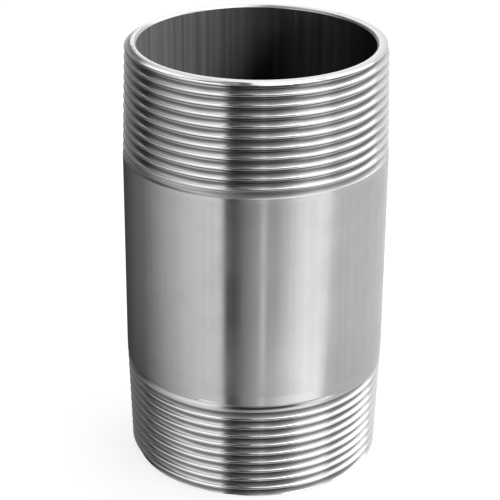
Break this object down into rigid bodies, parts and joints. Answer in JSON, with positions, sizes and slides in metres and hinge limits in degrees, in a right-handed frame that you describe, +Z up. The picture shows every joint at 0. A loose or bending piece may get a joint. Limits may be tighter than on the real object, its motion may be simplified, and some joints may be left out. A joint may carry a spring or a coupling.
{
  "type": "pipe nipple",
  "caption": "Short straight length of steel pipe, open right through, with a right-hand taper thread on each end and a plain middle.",
  "frame": {"origin": "centre of the lower end face, on the pipe's axis", "axes": "+Z up along the pipe's axis, from the lower end face to the upper one"},
  "size_m": [0.0604, 0.0604, 0.1],
  "materials": {
    "steel": "bright drawn pipe with a satin sheen, threads and end faces freshly cut"
  },
  "bodies": {
    "root": {"pipe_nipple": "steel"}
  },
  "joints": []
}
